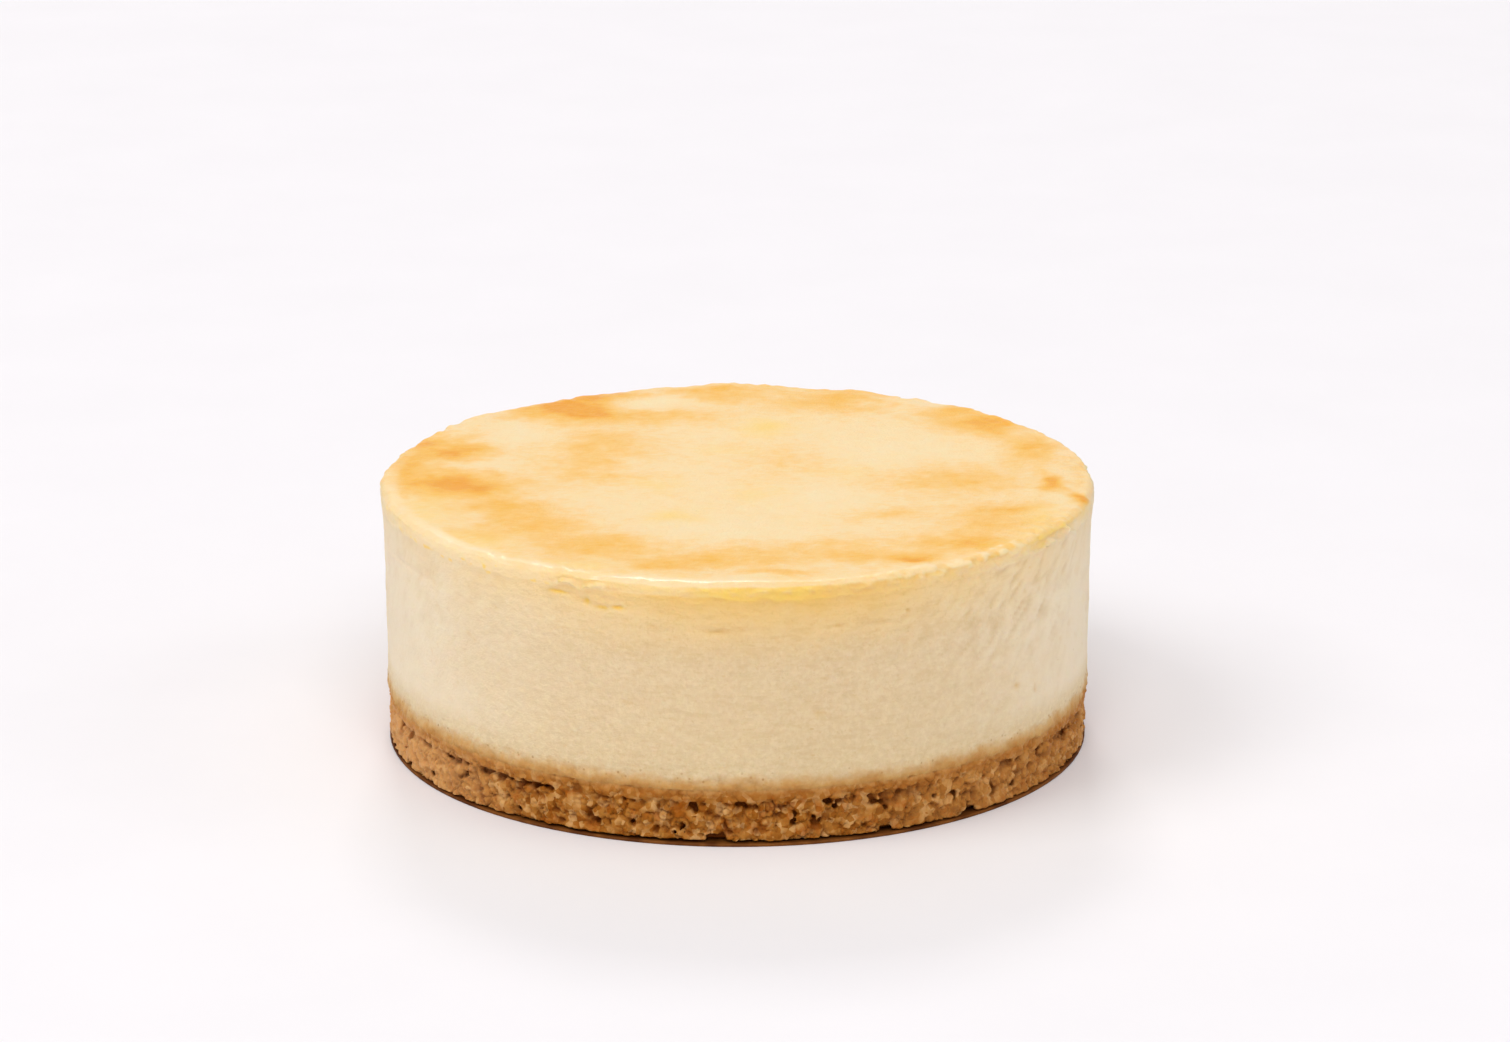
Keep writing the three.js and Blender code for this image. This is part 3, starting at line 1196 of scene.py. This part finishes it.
def gold_band(piece, warp):
    """The gold under the rim: a band at the front, little at the left, and flecks where the rim is torn."""
    turn, height, torn, coarse = shape.turn, shape.height, shape.torn, shape.coarse
    lower_edge = shape.lower_edge
    front = turn_hill(turn, 4, 15)
    at_left = turn_hill(turn, -45, 26)
    elsewhere = (0.25 + 0.25 * waves(points_of(piece), 12, 55)) * (1 - 0.8 * at_left)
    round_cake = np.maximum(np.maximum(front, 0.22 * turn_hill(turn, 40, 26)), elsewhere)
    round_cake = np.clip(round_cake * (1 + 0.8 * coarse), 0, 1)
    under_top = 1 - step_up(height, LIP_HEIGHT - 0.05 + 0.35 * torn, LIP_HEIGHT + 0.35 + 0.35 * torn)
    band_low = SKIN_BOTTOM - 0.5 * front + 0.8 * coarse
    band = step_up(height, band_low - 0.7, band_low + 0.9) * under_top * round_cake
    bare = step_up(height, lower_edge - 0.1, lower_edge + 0.25) * torn * under_top
    gold = band * (1 - 0.8 * torn) + bare * (0.5 + 0.3 * shape.feathers)
    gold = gold * (1 - 0.9 * np.clip(shape.clots, 0, 1)) * np.clip(0.85 + 0.5 * warp[0], 0.4, 1.1)
    flecks = hill(height, lower_edge - 0.15, 0.22) * at_left
    flecks = flecks * step_up(shape.middling + 0.5 * shape.fine, 0.0, 0.35)
    gold = np.maximum(np.maximum(gold, flecks), shape.hollow * step_up(height, 31.5, 33))
    return gold * shape.wall


def colour_wall(piece, warp):
    """Paints the gold, the toasted front, the wet and glassy rim, the pale torn feathers and clots with
    painted sheen at the sides and a painted highlight on the wrinkles' crests, and painted shade in the
    grooves and the pits.
    """
    turn, height, torn, coarse = shape.turn, shape.height, shape.torn, shape.coarse
    toast = 0.25 + 0.65 * turn_hill(turn, 6, 30) + 0.15 * warp[1]
    over_skin_edge = step_up(height, 34.8 + 0.3 * coarse, 35.2 + 0.3 * coarse)
    moist = step_up(shape.radius, 47.9, 48.9) * over_skin_edge * (1 - 0.7 * torn)
    glazed = turn_hill(turn, -52, 34) + 0.45 * turn_hill(turn, -8, 20) + 0.35 * turn_hill(turn, 200, 40)
    glazed = glazed * step_up(shape.radius, 47.1, 48.2) * over_skin_edge
    glazed = glazed * (1 - 0.6 * torn) * (0.95 + 0.5 * coarse)
    burrs = np.clip(6 * shape.burr, 0, 1) * turn_hill(turn, 44, 26)
    # Painted sheen: the wall is painted paler at both sides and at the back.
    painted_side_sheen = turn_hill(turn, 72, 26) + turn_hill(turn, -70, 30) + 0.7 * turn_hill(turn, 180, 50)
    painted_side_sheen = painted_side_sheen * (1 + 0.3 * warp[0]) * step_up(height, 10, 14)
    feathered = hill(height, shape.lower_edge - 0.3, 0.5) * torn
    # Painted highlight on the wrinkles' crests; the clots are paler curd.
    crest_highlight_and_clots = 0.5 * np.clip(shape.wrinkles, 0, 1) + 0.5 * np.clip(shape.clots, 0, 1)
    paint(piece, "toast", toast * np.clip((height - 24) / 12, 0, 1) ** 1.6)
    paint(piece, "gold", gold_band(piece, warp))
    # The hollow amounts give painted shade in the pits and marks, and gold near the rim.
    paint(piece, "hollow", shape.hollow)
    paint(piece, "moist", moist * (0.1 + 0.65 * turn_hill(turn, -18, 34)))
    paint(piece, "glazed", np.maximum(glazed, burrs))
    paint(piece, "pale_and_painted_highlight", painted_side_sheen + feathered + crest_highlight_and_clots)
    # Painted shade in the wrinkles' grooves.
    paint(piece, "groove_shade", -0.6 * shape.wrinkles)


filling_points = points_of(filling)
warp = [waves(filling_points, 7, seed) + 0.5 * waves(filling_points, 2.5, seed + 2) for seed in (51, 52)]
colour_top(filling, warp)
colour_wall(filling, warp)
print("painted:", [layer.name for layer in filling.data.attributes if layer.data_type == "FLOAT"])

# %% [markdown]
# ### The filling's finish
#
# Baked cream cheese is dense and slightly see-through, so light goes a little way in and comes out
# warmer: that is what subsurface does. The skin on top is smooth, the rim is wet and gets a clear coat
# where it was painted moist, and the wall is duller, with the fine grain of the curd. The paint on the
# mesh says where the colours go, and noise in the material breaks up their edges. Some of the wall's
# colour is painted light: it is painted lighter towards the rim as if lit from above, paler at the sides,
# the back and on the wrinkles' crests as painted sheen and highlight, and darker in the grooves and the
# pits as painted shade.

# %% Filling finish


def dots(tree, place, size, inner, outer):
    """1 inside small round dots, one in each cell of this size, and 0 between them."""
    return rise(tree, cells(tree, place, size).outputs["Distance"], outer, inner)


def top_colours(tree, place, mottle):
    """The skin of the top: cream where it is pale, amber where it is browned, and yellow in places."""
    streaks = grain(tree, stretched(tree, place, (0.7, 1.2, 1)), 1.0, 4.0, 0.6)
    uneven = calculate(tree, "SUBTRACT", mottle, 0.5)
    brown = calculate(tree, "MULTIPLY_ADD", uneven, 0.42, painted(tree, "browned"))
    brown = calculate(tree, "MULTIPLY_ADD", calculate(tree, "SUBTRACT", streaks, 0.5), 0.3, brown)
    stops = [
        (0.0, tone(240, 218, 172)),
        (0.25, tone(242, 211, 156)),
        (0.5, tone(242, 195, 116)),
        (0.75, tone(240, 180, 70)),
        (1.0, tone(234, 156, 30)),
    ]
    return blend(tree, painted(tree, "yellowed"), ramp(tree, brown, stops), tone(243, 205, 118))


def curd_colours(tree, place, height):
    """The plain curd of the wall: cream, greyer near the base and painted lighter towards the rim as light
    from above, with fine specks.
    """
    colour = blend(tree, grain(tree, place, 9.0, 3.0), tone(231, 207, 166), tone(225, 199, 158))
    colour = tinted(tree, colour, rise(tree, height, 20 * MM, 10 * MM), 0.35, tone(219, 201, 158))
    # Painted light: the wall is painted lighter towards the rim, as if lit from above.
    colour = blend(tree, rise(tree, height, 26 * MM, 36 * MM), colour, tone(249, 226, 181))
    curdled = rise(tree, grain(tree, place, 0.8, 4.0, 0.65), 0.4, 0.65)
    colour = tinted(tree, colour, curdled, 0.35, tone(243, 224, 186))
    specks = rise(tree, grain(tree, place, 0.55, 3.0, 0.6), 0.54, 0.72)
    colour = tinted(tree, colour, specks, 0.35, tone(212, 182, 134))
    drawn = rise(tree, grain(tree, stretched(tree, place, (1, 1, 4)), 3.0, 4.0, 0.6), 0.48, 0.66)
    return tinted(tree, colour, drawn, 0.35, tone(216, 188, 142))


def wall_colours(tree, place, height):
    """The curd with its pores, painted sheen and highlight, painted shade in the wrinkles' grooves and the
    pits, toasted front, and the brown specks and border below.
    """
    # Painted sheen and highlight at the sides, the back and the wrinkles' crests, with the paler torn feathers
    # and clots.
    colour = blend(tree, painted(tree, "pale_and_painted_highlight"), curd_colours(tree, place, height), tone(241, 224, 194))
    pores = dots(tree, stretched(tree, place, (0.8, 0.8, 1.5)), 2.2, 0.04, 0.14)
    pores = calculate(tree, "MULTIPLY", pores, rise(tree, grain(tree, place, 6.0, 2.0), 0.5, 0.7))
    colour = tinted(tree, colour, pores, 0.4, tone(206, 168, 104))
    # Painted shade: the wrinkles' grooves are painted darker.
    colour = blend(tree, painted(tree, "groove_shade"), colour, tone(208, 176, 126))
    # Painted shade: the pits and marks are painted darker and warmer where they are hollow.
    colour = blend(tree, painted(tree, "hollow"), colour, tone(220, 184, 124))
    colour = blend(tree, painted(tree, "toast"), colour, tone(240, 190, 84))
    low_down = rise(tree, height, 11.3 * MM, 9.3 * MM)
    brown_specks = calculate(tree, "MULTIPLY", dots(tree, place, 1.1, 0.1, 0.22), low_down)
    colour = tinted(tree, colour, brown_specks, 0.7, tone(156, 104, 48))
    return soaked_border(tree, place, SOAKED, colour)


def filling_finish():
    material, tree, shader, place = new_finish("baked_filling")
    height = part_of(tree, place, "Z")
    mottle = grain(tree, place, 2.2, 5.0, 0.6)
    top = rise(tree, height, (CAKE_TOP - 1.15) * MM, (CAKE_TOP - 0.5) * MM)
    colour = blend(tree, top, wall_colours(tree, place, height), top_colours(tree, place, mottle))
    colour = tinted(tree, colour, painted(tree, "glazed"), 0.95, tone(245, 220, 174))
    patchy = calculate(tree, "MULTIPLY_ADD", mottle, 1.2, 0.4)
    gold = calculate(tree, "MULTIPLY", patchy, painted(tree, "gold"))
    colour = blend(tree, rise(tree, gold, 0.02, 0.95), colour, tone(249, 210, 108))
    feed(tree, shader.inputs["Base Color"], colour)

    curd = relief(tree, grain(tree, place, 0.6, 5.0, 0.65), 0.8, 0.3)
    feed(tree, shader.inputs["Normal"], relief(tree, grain(tree, place, 1.6, 4.0, 0.55), 0.25, 0.12, curd))
    shine = grain(tree, place, 3.5, 3.0)
    top_rough = calculate(tree, "MULTIPLY_ADD", shine, 0.25, 0.28)
    wall_rough = calculate(tree, "MULTIPLY_ADD", shine, 0.15, 0.48)
    rough_step = calculate(tree, "SUBTRACT", top_rough, wall_rough)
    feed(tree, shader.inputs["Roughness"], calculate(tree, "MULTIPLY_ADD", rough_step, top, wall_rough))
    feed(tree, shader.inputs["Coat Weight"], painted(tree, "moist"))
    feed(tree, shader.inputs["Coat Normal"], relief(tree, grain(tree, place, 0.45, 2.0), 0.35, 0.1))
    adjust(shader, {"Coat Roughness": 0.3, "Coat IOR": 1.4, "IOR": 1.42, "Specular IOR Level": 0.08})
    adjust(shader, {"Sheen Weight": 0.06, "Sheen Roughness": 0.45, "Subsurface Weight": 0.35})
    adjust(shader, {"Subsurface Radius": (1.0, 0.55, 0.25), "Subsurface Scale": 1.6 * MM})
    return material


filling.data.materials.clear()
filling.data.materials.append(filling_finish())
make_active(filling)
bpy.ops.object.shade_smooth_by_angle(angle=math.radians(60))
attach(filling, "root")
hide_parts("cheese_filling")
print("filling finished")

# %% [markdown]
# ## The size
#
# The finer shapes may not make the cake bigger than the plain model. Both boxes are printed, so that they can
# be compared.

# %% Print the boxes
boxes = {"cad": [list(corner) for corner in cad_box], "visual": [list(corner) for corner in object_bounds()]}
for name, corners in boxes.items():
    print(name, [[round(value, 5) for value in corner] for corner in corners])
